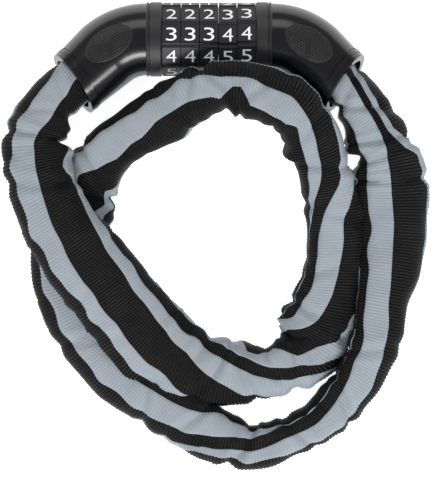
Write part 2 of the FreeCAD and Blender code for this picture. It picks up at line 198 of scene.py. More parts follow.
# Along the route, counted in control points: width and height of the flattened tube,
# which part of the weave faces up (in millimetres round it from the middle of the first
# stripe), and how far the middle is off the line to its left, in millimetres.
SHAPE = [
    (0.0, 17.0, 16.5, 5.0, 0.2),
    (0.6, 18.0, 16.5, 3.4, 0.4),
    (1.0, 17.6, 16.5, 1.4, 0.9),
    (1.3, 18.8, 16.0, 0.8, 0.9),
    (1.6, 21.6, 15.0, 1.6, 1.3),
    (1.8, 22.2, 15.0, 2.0, 1.0),
    (2.0, 21.4, 15.0, 2.6, 0.2),
    (2.12, 22.0, 15.0, 2.8, -0.2),
    (2.3, 24.6, 14.0, 4.6, 0.8),
    (2.5, 26.6, 13.4, 5.0, 1.6),
    (3.0, 25.6, 13.4, 5.0, 0.8),
    (3.3, 26.0, 13.2, 5.0, 0.1),
    (3.7, 26.6, 13.2, 5.7, -0.9),
    (4.0, 28.0, 13.0, 6.8, -0.9),
    (4.5, 31.4, 13.0, 9.2, -0.1),
    (5.0, 30.8, 13.2, 9.9, 0),
    (5.5, 32.0, 13.0, 10.2, 0.2),
    (6.0, 32.8, 12.8, 11.2, 0),
    (6.5, 29.6, 13.0, 13.0, 0),
    (7.0, 25.6, 14.5, 17.5, 0),
    (7.5, 24.9, 14.5, 22.5, 1.6),
    (8.0, 20.8, 16.0, 26.5, 1.6),
    (8.5, 19.0, 16.5, 29.5, 1.4),
    (9.0, 22.0, 15.5, 32.5, 1.4),
    (9.5, 29.0, 13.4, 42.5, 2.6),
    (10.0, 29.6, 13.4, 51.0, 3.0),
    (10.5, 25.4, 14.2, 53.0, 0.8),
    (11.0, 22.6, 14.8, 53.0, -2.0),
    (11.5, 22.0, 15.0, 54.6, -1.7),
    (12.0, 19.4, 16.5, 62.0, 0),
    (12.3, 19.0, 16.5, 64.8, 0.2),
    (12.55, 22.2, 15.0, 66.2, 1.4),
    (12.8, 20.2, 16.0, 66.4, 0.6),
    (13.0, 18.6, 16.5, 66.6, 0),
    (13.5, 21.2, 15.5, 67.8, 0),
    (14.0, 21.0, 15.0, 68.4, 1.0),
    (14.5, 19.8, 15.6, 69.8, 1.6),
    (14.8, 17.2, 16.5, 68.0, -0.2),
    (15.0, 18.4, 16.0, 70.8, 0.2),
    (15.5, 20.0, 15.6, 72.6, 0.9),
    (16.0, 22.0, 15.0, 72.8, 1.7),
    (16.5, 19.4, 16.0, 71.0, 1.2),
    (17.0, 17.8, 16.5, 70.2, 0),
    (17.35, 19.6, 16.0, 73.4, 0.2),
    (17.6, 23.6, 14.6, 79.0, 1.0),
    (17.8, 26.6, 13.6, 77.4, 1.8),
    (18.0, 27.4, 13.4, 81.0, 2.3),
    (18.3, 27.0, 13.4, 79.6, 1.7),
    (18.6, 26.4, 13.2, 77.0, 1.0),
    (19.0, 25.4, 12.8, 75.0, 0),
    (20.0, 25.4, 12.8, 73.6, 0),
    (21.0, 24.0, 13.2, 72.8, 0.2),
    (21.5, 21.8, 14.0, 72.6, 1.4),
    (22.0, 21.6, 14.5, 71.0, 1.8),
    (22.5, 20.6, 15.5, 65.6, 0.5),
    (22.75, 19.4, 15.5, 63.2, 0.5),
    (23.0, 15.8, 16.5, 61.2, -1.8),
    (23.5, 15.8, 16.5, 60.2, -0.3),
    (24.0, 15.6, 16.5, 60.4, -0.9),
    (24.5, 17.6, 16.0, 58.4, -0.3),
    (25.0, 18.2, 16.0, 56.4, 0),
    (25.5, 18.6, 16.0, 55.0, -0.5),
    (26.0, 19.8, 15.5, 53.6, 0),
    (26.5, 24.4, 14.0, 52.0, -0.6),
    (27.0, 27.2, 13.0, 52.2, 0),
    (27.5, 28.8, 12.8, 51.8, 0.6),
    (27.9, 27.8, 13.0, 51.8, 0.6),
    (28.05, 25.2, 14.0, 51.4, 0.4),
    (28.2, 18.8, 15.5, 50.2, -1.4),
    (28.35, 25.4, 14.5, 54.2, 2.6),
    (28.6, 24.4, 14.8, 53.6, 2.4),
    (28.85, 18.6, 15.8, 52.4, 0.8),
    (29.0, 17.8, 16.5, 52.2, 0.4),
    (29.5, 15.8, 16.5, 53.2, -0.6),
    (30.0, 16.6, 16.5, 56.0, 0),
]
# Pleats along the sleeve: from and to which part of the weave, measured away from the
# top, and how many millimetres of it are drawn in at places along the route. Less than
# nothing spreads the weave instead. A pleat that draws in all of its part is tucked down.
PLEATS = [
    (-4.6, -9.3, [(0.0, -3.4), (6.0, -2.6), (6.8, 0)]),
    (
        4.8,
        16.4,
        [
            (2.1, 0), (2.4, -1.6), (2.65, -0.4), (2.95, 2.2), (3.1, 1.6), (3.3, -3.2),
            (3.8, -3.4), (6.0, -1), (6.6, 0),
        ],
    ),
    (
        17.6,
        26.6,
        [
            (2.2, 0), (2.4, 4.4), (2.6, 2.8), (2.9, 1), (3.05, 1), (3.25, 4.2), (3.9, 5.6),
            (4.4, 4), (6.4, 3), (7.2, 0),
        ],
    ),
    (4.5, -4.5, [(3.8, 0), (4.4, 1.6), (5.2, 3.4), (6.2, 3.8), (6.6, 2.0), (7.0, 0)]),
    (
        31.5,
        42.0,
        [
            (7.65, 0), (7.8, 8), (8.1, 7), (8.3, 3), (8.5, 1), (8.8, 2.5), (9.05, 6), (9.3, 2),
            (9.5, 0),
        ],
    ),
    (
        65.7,
        75.2,
        [(9.4, 0), (9.7, 9.3), (11.5, 9.3), (11.9, 6.5), (12.2, 4.0), (13.1, 3.6), (13.3, 0)],
    ),
    (
        65.6,
        60.9,
        [
            (11.6, 0), (12, -2.6), (12.4, -3), (13, -5.5), (15.6, -5.5), (16, -3.6), (17, -3),
            (19, -2.4), (22, -2.6), (22.4, 0),
        ],
    ),
    (
        67.0,
        74.8,
        [
            (14.2, 0), (14.45, 5.6), (14.6, 5.2), (14.85, 0.4), (15.6, 0.8), (16.1, 1.4),
            (16.4, 0),
        ],
    ),
    (74.0, 65.9, [(16.3, 0), (16.6, -1.8), (17.3, -2.0), (17.6, 0)]),
    (88.0, 97.0, [(17.3, 0), (17.6, 5.2), (18.5, 5.2), (18.9, 0)]),
    (
        60.8,
        51.8,
        [(21.4, 0), (21.9, 5), (22.3, 7), (22.8, 5.4), (23.3, 3.6), (24.0, 2.2), (24.5, 0)],
    ),
    (
        65.7,
        75.2,
        [(22.5, 0), (22.7, 3), (22.95, 5.5), (23.3, 7.6), (23.6, 9.5), (27.5, 9.5), (27.9, 0)],
    ),
    (51.6, 39.8, [(25.0, 0), (25.4, -1.8), (27.5, -2.6), (27.9, 0)]),
    (51.7, 30.4, [(28.0, 0), (28.25, 11), (28.5, 16.5), (30, 16.5)]),
]



def route_line():
    """Points along the smooth line that the route's control points steer, in metres."""
    curve = bpy.data.curves.new("sleeve_line", "CURVE")
    curve.dimensions = "3D"
    spline = curve.splines.new("NURBS")
    spline.points.add(len(ROUTE) - 1)
    for point, (x, y, z) in zip(spline.points, ROUTE):
        point.co = (x * MM, y * MM, z * MM, 1.0)
    spline.order_u = 3
    spline.use_endpoint_u = True
    spline.resolution_u = 40
    curve_object = bpy.data.objects.new("sleeve_line", curve)
    scene.collection.objects.link(curve_object)
    bpy.context.view_layer.update()
    mesh = bpy.data.meshes.new_from_object(curve_object)
    bpy.data.objects.remove(curve_object)
    return np.array([v.co[:] for v in mesh.vertices])


LINE = route_line()
MARKS = np.concatenate([[0.0], np.cumsum(np.linalg.norm(np.diff(LINE, axis=0), axis=1))])
TOTAL = MARKS[-1]
# Where each point of the line is along the route, counted in control points: a curve of
# this order has its knots halfway between them.
COUNT = np.interp(
    np.linspace(0.0, len(ROUTE) - 2, len(LINE)),
    np.concatenate([[0.0], np.arange(len(ROUTE) - 2) + 0.5, [len(ROUTE) - 2]]),
    np.arange(len(ROUTE)),
)


def smoothed(values, width):
    """A weighted running mean that keeps both ends."""
    kernel = np.hanning(2 * width + 1)
    kernel /= kernel.sum()
    padded = np.concatenate([[values[0]] * width, values, [values[-1]] * width])
    return np.convolve(padded, kernel, mode="valid")


def at(distance, table):
    """A column of values read at distances along the line."""
    return np.interp(distance, MARKS, table)


LINE_SHAPE = [
    smoothed(np.interp(COUNT, [row[0] for row in SHAPE], [row[k] for row in SHAPE]), 4)
    for k in range(1, 5)
]

# ------------------------------------------------------------------ the woven sleeve
RIB_PITCH = 1.12 * MM
SAMPLES_PER_RIB = 2
RIB_HEIGHT = 0.4 * MM
GIRTH = 70.2 * MM
STRIPE = 9.05 * MM
STRIPE_RAISE = 0.22 * MM
STRIPE_CENTRES = [0.0, 21.15 * MM, 35.1 * MM, 56.25 * MM]
STRIPE_LIP = 0.25 * MM
STRIPE_COLUMNS = 8
NYLON_CELL = 1.15 * MM


def weave_columns():
    """Places round the girth for the grid's columns, and whether each cell is stripe."""
    places, raised, striped = [], [], []
    for n, centre in enumerate(STRIPE_CENTRES):
        start = centre - STRIPE / 2
        following = STRIPE_CENTRES[(n + 1) % 4] + (GIRTH if n == 3 else 0.0)
        gap = following - STRIPE / 2 - (start + STRIPE)
        inner = np.linspace(start + STRIPE_LIP, start + STRIPE - STRIPE_LIP, STRIPE_COLUMNS)
        places += [start] + list(inner) + [start + STRIPE]
        raised += [0.0] + [1.0] * STRIPE_COLUMNS + [0.0]
        striped += [True] * (STRIPE_COLUMNS + 1)
        cells = max(3, round(gap / NYLON_CELL))
        between = np.linspace(start + STRIPE, start + STRIPE + gap, cells + 1)[1:-1]
        places += list(between)
        raised += [0.0] * len(between)
        striped += [False] * cells
    return np.array(places), np.array(raised), striped


COLUMN, RAISED, STRIPED = weave_columns()
OUTLINE_POINTS = 121


def sections(width, height):
    """Half outlines of the tube, from top to bottom, with their lengths.

    A narrow stretch is boxy, because the same girth goes round it, and a wide one is oval.
    """
    angle = np.linspace(0.0, math.pi, OUTLINE_POINTS)[None, :]
    flat = np.clip((width / height - 1.25) / 1.0, 0.0, 1.0)[:, None]
    x = (width / 2)[:, None] * np.sin(angle) ** (0.64 + 0.34 * flat)
    rise = np.abs(np.cos(angle)) ** (0.64 + 0.42 * flat) * np.sign(np.cos(angle))
    y = (height / 2)[:, None] * rise
    run = np.hypot(np.diff(x, axis=1), np.diff(y, axis=1))
    length = np.concatenate([np.zeros((len(width), 1)), np.cumsum(run, axis=1)], axis=1)
    return x, y, length


LINK_CORE = 3.4 * MM
LINK_ROOM = 2.35 * MM
HALF_LINK = 8 * MM
TINY = 1e-6


def around_chain(x, y, turning):
    """Pushes section points out of the space that the links need.

    That is a rounded square, and it grows where the line turns, because links are straight.
    """
    reach = LINK_ROOM + 0.5 * np.abs(turning) * HALF_LINK**2
    over_x = np.maximum(np.abs(x) - LINK_CORE, 0)
    over_y = np.maximum(np.abs(y) - LINK_CORE, 0)
    gap = np.hypot(over_x, over_y)
    inside = (gap < reach[:, None]).astype(float)
    share = np.where(gap > TINY, reach[:, None] / np.maximum(gap, TINY), 1.0)
    moved_x = np.sign(x) * (np.minimum(np.abs(x), LINK_CORE) + over_x * share)
    moved_y = np.sign(y) * (np.minimum(np.abs(y), LINK_CORE) + over_y * share)
    flat = np.sign(y) * (LINK_CORE + reach[:, None])
    moved_y = np.where(gap > TINY, moved_y, flat)
    return x + inside * (moved_x - x), y + inside * (moved_y - y)


def wave(distance, period, phase=0.0):
    """A sine along the sleeve, from -1 to 1."""
    return np.sin(2 * math.pi * distance / period + phase)


HEADING_REACH = 2.5 * MM


def frames(distance):
    """Centre, heading, sideways and upward directions at distances along the line."""
    centre = np.stack([at(distance, LINE[:, k]) for k in range(3)], axis=1)
    low = np.clip(distance - HEADING_REACH, 0, TOTAL)
    high = np.clip(distance + HEADING_REACH, 0, TOTAL)
    ahead = np.stack([at(high, LINE[:, k]) - at(low, LINE[:, k]) for k in range(3)], axis=1)
    ahead /= np.linalg.norm(ahead, axis=1)[:, None]
    side = np.cross([0.0, 0.0, 1.0], ahead)
    side /= np.linalg.norm(side, axis=1)[:, None]
    up = np.cross(ahead, side)
    return centre, ahead, side, up


PLEAT_EASE = 16 * MM
TUCK_SHARPNESS = 8
TUCK_DEPTH = 1.6 * MM


def wrapped(place):
    """Brings places round the girth within half of it on either side of the top."""
    return (place + GIRTH / 2) % GIRTH - GIRTH / 2


def pleated(place, facing, start, end, count, folds):
    """Draws in part of the weave on one side of the top, easing off towards the underside.

    Gives the new places and how far each is tucked down, from 0 to 1.
    """
    deep = np.interp(count, [f[0] for f in folds], [f[1] * MM for f in folds])[:, None]
    near = wrapped(start - facing)[:, None]
    side = math.copysign(1.0, end - start)
    run = side * (place - near)
    length = abs(end - start)
    fold = np.clip(run / length, 0, 1)
    past = np.clip((run - length) / PLEAT_EASE, 0, 1)
    reached = (run > 0) & (side * place > side * near)
    full = np.clip(deep / length, 0, 1) ** TUCK_SHARPNESS
    tuck = np.where(reached, full * np.sin(math.pi * fold), 0)
    return place - side * deep * np.where(reached, fold * (1 - past), 0), tuck


def wander(distance, place):
    """Slow sideways drift of the weave, not the same on the two sides."""
    left = 0.85 * MM * wave(distance, 23.0 * MM) + 0.6 * MM * wave(distance, 14.3 * MM, 2.0)
    right = 0.8 * MM * wave(distance, 19.0 * MM, 1.0) + 0.6 * MM * wave(distance, 12.1 * MM)
    share = np.clip(place / (12 * MM), -1, 1)
    drift = np.where(share > 0, left[:, None], right[:, None]) * np.abs(share)
    return drift * (1 - np.abs(place) / (GIRTH / 2))


# Creases across the sleeve: place along the route, skew, depth and width in millimetres.
CREASES = [
    (0.95, 0.5, 0.6, 1.6),
    (1.45, -0.5, 0.5, 1.4),
    (2.06, 0.05, 1.4, 1.4),
    (2.32, -0.3, 0.8, 1.6),
    (3.12, 0.35, 0.9, 1.8),
    (4.75, -0.5, 0.6, 2.0),
    (5.7, 0.4, 0.6, 2.0),
    (6.6, 0.5, 0.8, 2.0),
    (7.15, 0.4, 1.2, 1.8),
    (7.75, -0.4, 1.1, 1.6),
    (8.45, -0.3, 1.1, 1.8),
    (9.0, 0.5, 1.5, 1.6),
    (9.55, -0.5, 1.4, 1.6),
    (10.05, 0.4, 1.2, 1.6),
    (10.9, -0.4, 0.8, 2.0),
    (11.6, 0.4, 0.8, 1.8),
    (12.3, 0.4, 1.2, 1.6),
    (12.9, -0.3, 0.9, 1.6),
    (14.15, 0.8, 0.8, 1.8),
    (14.78, -0.7, 1.6, 1.5),
    (15.45, 0.6, 1.2, 1.8),
    (15.75, -0.5, 0.7, 1.6),
    (17.45, 0.5, 1.2, 1.4),
    (17.9, -0.5, 1.4, 1.3),
    (18.35, 0.3, 0.8, 1.6),
    (20.3, 0.3, 0.8, 1.8),
    (21.4, -0.5, 1.0, 1.6),
    (22.1, 0.5, 0.8, 1.6),
    (22.92, 0.5, 1.6, 1.5),
    (23.7, -0.4, 0.9, 1.6),
    (24.5, 0.6, 1.3, 1.6),
    (25.3, -0.4, 0.8, 1.8),
    (27.7, 0.05, 1.3, 1.2),
    (28.12, -0.15, 1.4, 1.3),
    (28.42, 0.25, 1.3, 1.3),
    (28.95, 0.7, 1.3, 1.5),
    (29.4, -0.4, 0.8, 1.5),
]


# How much the weave may be squeezed and stretched round a section, and how the way out of
# a section's face rounds off towards its edges.
MOST_SQUEEZED, MOST_STRETCHED = 0.8, 1.45
FACE_ROUNDNESS = 1.7
GATHER_FROM_TURN = 45.0
GATHER_HEIGHT = 0.42 * MM
UNEVEN_HEIGHT = 0.75 * MM
UNEVEN_PER_METRE = 85
FLOOR_GAP = 0.15 * MM


def weave_places(distance, facing):
    """Where each column is round the girth, signed from the top, and how far it is tucked."""
    place = wrapped(COLUMN[None, :] - facing[:, None])
    place = place + wander(distance, place)
    count = at(distance, COUNT)
    tucked = np.zeros_like(place)
    for start, end, folds in PLEATS:
        place, tuck = pleated(place, facing, start * MM, end * MM, count, folds)
        tucked = tucked + tuck
    return place, tucked


def on_outline(place, width, height):
    """The section's points at places round the girth, and the directions out of it there.

    The weave is squeezed or stretched where the section's own girth differs from it.
    """
    x, y, length = sections(width, height)
    half = length[:, -1]
    share = place / (GIRTH / 2)
    ratio = np.clip((GIRTH / 2) / half, MOST_SQUEEZED, MOST_STRETCHED)[:, None]
    share = share * (ratio + (1 - ratio) * np.abs(share) ** 2)
    target = np.abs(share) * half[:, None]
    px, py = np.empty_like(target), np.empty_like(target)
    for n in range(len(half)):
        px[n] = np.interp(target[n], length[n], x[n])
        py[n] = np.interp(target[n], length[n], y[n])
    px *= np.sign(share)
    nx = np.sign(px) * np.abs(2 * px / width[:, None]) ** FACE_ROUNDNESS / width[:, None]
    ny = np.sign(py) * np.abs(2 * py / height[:, None]) ** FACE_ROUNDNESS / height[:, None]
    norm = np.hypot(nx, ny) + 1e-9
    return px, py, nx / norm, ny / norm


def creased(lift, distance, px):
    """Adds the creases that cross the sleeve, each with a slight swelling on both sides."""
    for spot, skew, depth, spread in CREASES:
        middle = np.interp(spot, COUNT, MARKS)
        run = distance[:, None] - middle - skew * px
        lift = lift - depth * MM * np.exp(-((np.abs(run) / (spread * MM)) ** 1.25))
        beside = np.exp(-(((np.abs(run) - 2.2 * spread * MM) / (spread * MM)) ** 2))
        lift = lift + 0.35 * depth * MM * beside
    return lift


def turn_rate(distance, ahead):
    """How fast the line turns to its left, in radians per metre."""
    turning = np.cross(ahead[:-1], ahead[1:])[:, 2] / np.maximum(np.diff(distance), TINY)
    return smoothed(np.append(turning, turning[-1]), 12)


def gathered(lift, distance, across, turning):
    """Adds the small folds on the inner side of a bend."""
    inner = np.clip(across * np.sign(turning)[:, None], 0, 1)
    gather = np.clip(np.abs(turning) / GATHER_FROM_TURN, 0, 1)[:, None] * inner**1.5
    fold = wave(distance, 8.3 * MM) + 0.7 * wave(distance, 13.1 * MM, 1.3)
    return lift + GATHER_HEIGHT * gather * fold[:, None]


def unevenness(distance, across, py):
    """Soft unevenness of cloth over links, not the same on the top and the underside."""
    rough = np.empty_like(across)
    for n in range(rough.shape[0]):
        for k in range(rough.shape[1]):
            face = 3 * np.sign(py[n, k])
            spot = (distance[n] * UNEVEN_PER_METRE, across[n, k] * 0.9 + face, 0.3)
            rough[n, k] = noise.noise(Vector(spot))
    return rough


def sleeve_grid(first, last):
    """The sleeve between two distances: its rings' places, vertices and centres."""
    rib = RIB_PITCH / SAMPLES_PER_RIB
    rings = np.arange(round(first / rib), round(last / rib) + 1)
    distance = np.clip(rings * rib, 0, TOTAL)
    width, height, facing, offset = [at(distance, t) for t in LINE_SHAPE]
    width, height, facing, offset = [v * MM for v in (width, height, facing, offset)]
    bulge = 0.45 * MM * wave(distance, 31.0 * MM, 0.4) + 0.3 * MM * wave(distance, 13.7 * MM)
    width = width + bulge
    height = height + 0.25 * MM * wave(distance, 15.5 * MM, 1.0)
    place, tucked = weave_places(distance, facing)
    px, py, nx, ny = on_outline(place, width, height)
    across = px / (width[:, None] / 2)
    centre, ahead, side, up = frames(distance)
    turning = turn_rate(distance, ahead)

    lift = RAISED[None, :] * STRIPE_RAISE - TUCK_DEPTH * tucked
    ridge = np.where(rings % SAMPLES_PER_RIB == 0, 0.5, -0.5)[:, None]
    lift = lift + RIB_HEIGHT * ridge * (1 - 0.8 * RAISED[None, :])
    lift = creased(lift, distance, px)
    lift = gathered(lift, distance, across, turning)
    lift = lift + UNEVEN_HEIGHT * unevenness(distance, across, py)

    sx, sy = around_chain(px + nx * lift + offset[:, None], py + ny * lift, turning)
    points = (
        centre[:, None, :] + sx[:, :, None] * side[:, None, :] + sy[:, :, None] * up[:, None, :]
    )
    points[:, :, 2] = np.maximum(points[:, :, 2], FLOOR_GAP)
    return distance, points, centre + side * offset[:, None]


def sleeve_piece(name, first, last):
    """One piece of the sleeve, with its UV in ribs and millimetres, and its centre line."""
    distance, points, centres = sleeve_grid(first, last)
    rings, columns = points.shape[:2]
    index = np.arange(rings * columns).reshape(rings, columns)
    right = np.roll(index, -1, axis=1)
    faces = np.stack([index[:-1], index[1:], right[1:], right[:-1]], axis=-1).reshape(-1, 4)
    obj = new_mesh(name, points.reshape(-1, 3), faces)
    mesh = obj.data
    mesh.materials.append(NYLON)
    mesh.materials.append(REFLECTIVE)
    striped = np.tile(np.array(STRIPED, dtype=int), rings - 1)
    mesh.polygons.foreach_set("material_index", striped)
    layer = mesh.uv_layers.new(name="weave")
    along = np.repeat(distance, columns).reshape(rings, columns) / RIB_PITCH
    round_girth = np.tile(COLUMN, (rings, 1))
    next_girth = np.roll(round_girth, -1, axis=1)
    next_girth[:, -1] += GIRTH
    corner_u = np.stack([round_girth[:-1], round_girth[1:], next_girth[1:], next_girth[:-1]], -1)
    corner_v = np.stack([along[:-1], along[1:], along[1:], along[:-1]], -1)
    uv = np.stack([corner_u.reshape(-1) / MM, corner_v.reshape(-1)], axis=-1)
    layer.data.foreach_set("uv", uv.reshape(-1))
    mesh.update()
    return obj, [tuple(spot) for spot in centres.tolist()]


def woven(name, tones, roughness, painted_rib_shade, relief):
    """Ribbed cloth: fine yarns along the ribs, uneven colour, painted shade in the furrows and
    painted highlights on the rib tops.
    """
    m = Nodes(name, Roughness=roughness, Sheen_Weight=0.02, Sheen_Roughness=0.4)
    m.shader.inputs["Specular IOR Level"].default_value = 0.14
    uv = m.add("ShaderNodeUVMap", uv_map="weave").outputs["UV"]
    split = m.add("ShaderNodeSeparateXYZ", {0: uv})
    u, v = split.outputs["X"], split.outputs["Y"]
    rib = m.math("COSINE", m.math("MULTIPLY", v, 2 * math.pi))
    yarn = m.math("SINE", m.math("MULTIPLY", u, 2 * math.pi / 0.45))
    cell = m.add("ShaderNodeCombineXYZ", {0: m.math("MULTIPLY", u, 1.4), 1: v}).outputs[0]
    grain = m.noise(2.2, 4.0, 0.65, cell)
    patch = m.noise(0.12, 3.0, 0.5, uv)
    tone = m.math("ADD", m.math("MULTIPLY", grain, 0.7), m.math("MULTIPLY", patch, 0.3))
    # Painted shade and highlight: the rib pattern darkens the base colour in the furrows and
    # lightens it on the rib tops.
    tone = m.math("ADD", tone, m.math("MULTIPLY", rib, painted_rib_shade))
    m.link(m.ramp(tone, *tones), "Base Color")
    m.link(m.spread(grain, roughness - 0.08, roughness + 0.12), "Roughness")
    height = m.math("ADD", m.math("MULTIPLY", rib, 0.5), m.math("MULTIPLY", yarn, 0.18))
    height = m.math("ADD", height, m.math("MULTIPLY", grain, 0.35))
    m.bump(height, relief * MM, 0.8)
    return m.material


# The nylon's light brownish stop, reached mostly on the rib tops, is a painted glint. Its
# darkest stop, in the furrows, is painted shade. Between them lies the cloth's own uneven
# colour.
NYLON = woven(
    "sleeve_nylon",
    ((0.4, grey(0.0004)), (0.68, grey(0.0035)), (0.94, (0.044, 0.040, 0.037))),
    0.6,
    0.26,
    0.25,
)
# The stripes get a weaker share of the same painted rib shade and highlight.
REFLECTIVE = woven(
    "sleeve_stripe",
    ((0.3, (0.215, 0.245, 0.275)), (0.75, (0.30, 0.335, 0.37))),
    0.55,
    0.08,
    0.12,
)

# The two pieces meet on a rib, at this count of control points along the route.
JOIN_COUNT = 24.2
JOIN = round(float(np.interp(JOIN_COUNT, COUNT, MARKS)) / RIB_PITCH) * RIB_PITCH
main_sleeve, main_path = sleeve_piece("sleeve_main", 0.0, JOIN)
end_sleeve, end_path = sleeve_piece("sleeve_end", JOIN, TOTAL)


# ------------------------------------------------------------------ the chain
WIRE = 2.0 * MM
BOW = 4.8 * MM
STRAIGHT = 5.2 * MM
LINKS = 49
LINK_POINTS = 28
WIRE_POINTS = 10
WELD_SWELL = 0.12
CHAIN_INSET = 2.0 * MM


def link_ring():
    """The middle line of one link in its own plane."""
    spots = []
    for n in range(LINK_POINTS):
        angle = 2 * math.pi * n / LINK_POINTS
        x, y = BOW * math.cos(angle), BOW * math.sin(angle)
        spots.append((x + math.copysign(STRAIGHT, math.cos(angle)), y))
    return spots


def link_mesh(centre, heading, level, roll, verts, faces):
    """Adds one bent bar closed on itself, with a weld swelling on one side."""
    ring = link_ring()
    start = len(verts)
    spin = Matrix.Rotation(roll, 3, heading)
    level = spin @ level
    plane = heading.cross(level)
    for n, (x, y) in enumerate(ring):
        before, after = ring[n - 1], ring[(n + 1) % LINK_POINTS]
        tangent = Vector((after[0] - before[0], after[1] - before[1])).normalized()
        thick = WIRE * (1.0 + (WELD_SWELL if n == LINK_POINTS // 4 else 0.0))
        for k in range(WIRE_POINTS):
            angle = 2 * math.pi * k / WIRE_POINTS
            out = thick * math.cos(angle)
            spot = Vector((x + tangent.y * out, y - tangent.x * out))
            rise = plane * (thick * math.sin(angle))
            verts.append(centre + heading * spot.x + level * spot.y + rise)
    for n in range(LINK_POINTS):
        here = start + n * WIRE_POINTS
        following = start + (n + 1) % LINK_POINTS * WIRE_POINTS
        for k in range(WIRE_POINTS):
            beside = (k + 1) % WIRE_POINTS
            faces.append((here + k, following + k, following + beside, here + beside))


def chain_piece(name, numbers):
    """Links by number, each about a quarter turn from the last, flat at the chain's ends."""
    verts, faces = [], []
    for n in numbers:
        centre, ahead, side, _ = frames(np.array([PLACES[n]]))
        heading = Vector(ahead[0])
        level = Vector(side[0])
        roll = math.radians(90 * (n % 2) + min(45, 15 * min(n, LINKS - 1 - n)))
        link_mesh(Vector(centre[0]), heading, level, roll, verts, faces)
    obj = new_mesh(name, verts, faces)
    obj.data.materials.append(CHAIN_STEEL)
    return obj


def metal(name, colour, roughness):
    """Bare metal with an uneven tone and shine."""
    m = Nodes(name, Metallic=1.0, Roughness=roughness)
    grain = m.noise(900.0, 4.0, 0.6)
    dark = tuple(c * 0.72 for c in colour)
    m.link(m.ramp(grain, (0.3, dark), (0.7, colour)), "Base Color")
    m.link(m.spread(grain, roughness - 0.06, roughness + 0.14), "Roughness")
    m.bump(grain, 0.03 * MM, 0.5)
    return m.material


CHAIN_STEEL = metal("chain_steel", (0.42, 0.42, 0.43), 0.38)
PLACES = np.linspace(CHAIN_INSET, TOTAL - CHAIN_INSET, LINKS)
JOIN_LINK = int(np.searchsorted(PLACES, JOIN))
main_chain = chain_piece("chain_main", range(JOIN_LINK))
end_chain = chain_piece("chain_end", range(JOIN_LINK, LINKS))

# The main pieces ride on the barrel; the end pieces beside the bolt are baked where they lie and
# tied to no body.
for piece, node_name in ((main_sleeve, "sleeve"), (main_chain, "chain")):
    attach(piece, ROOT)
    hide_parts(node_name)
for piece, node_name in ((end_sleeve, "sleeve"), (end_chain, "chain")):
    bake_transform(piece)
    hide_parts(node_name)


# ------------------------------------------------------------------ plastics and metals
def moulded(name, colour, roughness, grain_scale=2200.0, depth=0.02):
    """Moulded or painted parts with a fine grain, its depth in millimetres."""
    m = Nodes(name, Roughness=roughness)
    m.shader.inputs["Specular IOR Level"].default_value = 0.4
    fine = m.noise(grain_scale, 2.0, 0.5)
    broad = m.noise(60.0, 3.0, 0.5)
    light = tuple(c * 1.35 for c in colour)
    m.link(m.ramp(broad, (0.3, colour), (0.75, light)), "Base Color")
    m.link(m.spread(broad, roughness - 0.05, roughness + 0.07), "Roughness")
    m.bump(fine, depth * MM, 0.35)
    return m.material


def turned(name, colour, roughness):
    """Coated metal with fine turning lines round the barrel."""
    m = Nodes(name, Roughness=roughness)
    place = m.add("ShaderNodeTexCoord").outputs["Object"]
    across = m.add("ShaderNodeSeparateXYZ", {0: place}).outputs["X"]
    lines = m.add("ShaderNodeCombineXYZ", {0: across}).outputs[0]
    grain = m.noise(5200.0, 3.0, 0.7, lines)
    light = tuple(c * 1.8 for c in colour)
    m.link(m.ramp(grain, (0.25, colour), (0.8, light)), "Base Color")
    m.link(m.spread(grain, roughness - 0.08, roughness + 0.12), "Roughness")
    m.bump(grain, 0.03 * MM, 0.4)
    return m.material


COVER = moulded("cover_plastic", (0.0025, 0.0025, 0.0034), 0.2)
DIAL = moulded("dial_metal", (0.0085, 0.0085, 0.0105), 0.5, 3600.0, 0.03)
COLLAR = turned("collar_metal", (0.004, 0.004, 0.005), 0.5)
GRIP = moulded("grip_rubber", (0.002, 0.002, 0.0027), 0.5, 3000.0, 0.03)
STEEL = metal("turned_steel", (0.55, 0.55, 0.56), 0.32)
SPRING = metal("spring_steel", (0.32, 0.32, 0.34), 0.35)
BRASS = metal("code_brass", (0.68, 0.48, 0.18), 0.35)
ALUMINIUM = metal("ferrule_aluminium", (0.72, 0.72, 0.73), 0.3)

for side_name in ("left", "right"):
    paint(side_name + "_elbow", COVER)
    paint(side_name + "_collar", COLLAR)
    paint(side_name + "_chain_anchor", STEEL)
    paint(side_name + "_anchor_pin", STEEL)
    paint(side_name + "_sleeve_ferrule", ALUMINIUM)
for k in range(1, DIALS + 1):
    paint("number_dial_%d" % k, DIAL)
    paint("code_ring_%d" % k, BRASS)
for node_name in ("core_tube", "core_pin", "bolt_pin", "lock_bolt"):
    paint(node_name, STEEL)
for node_name in ("spring_washer", "retaining_ring"):
    paint(node_name, SPRING)

# ------------------------------------------------------------------ numerals
NUMERAL = Nodes("numeral_paint", Roughness=0.55)
NUMERAL.link(
    NUMERAL.ramp(NUMERAL.noise(1500.0), (0.2, grey(0.74)), (0.7, grey(0.88))), "Base Color"
)
NUMERAL.bump(NUMERAL.noise(2500.0), 0.01 * MM, 0.3)
# From the axis to the middle of a dial's flat pads, and how far the pads are turned from
# facing straight up: all dials together, then each one's own slack, in degrees.
PAD_DISTANCE = 13.45 * MM
INDEX_ANGLE = 4.5
DIAL_SLACK = (0, 0, 0, -1.2, 1.5)
PADS = 10
NUMERAL_DROP = 0.3 * MM
NUMERAL_HEIGHT = 4.9 * MM
NUMERAL_WIDTH = 3.9 * MM
NUMERAL_DEPTH = 0.1 * MM
# The digit that faces up on each dial.
SHOWN = (3, 3, 3, 4, 4)


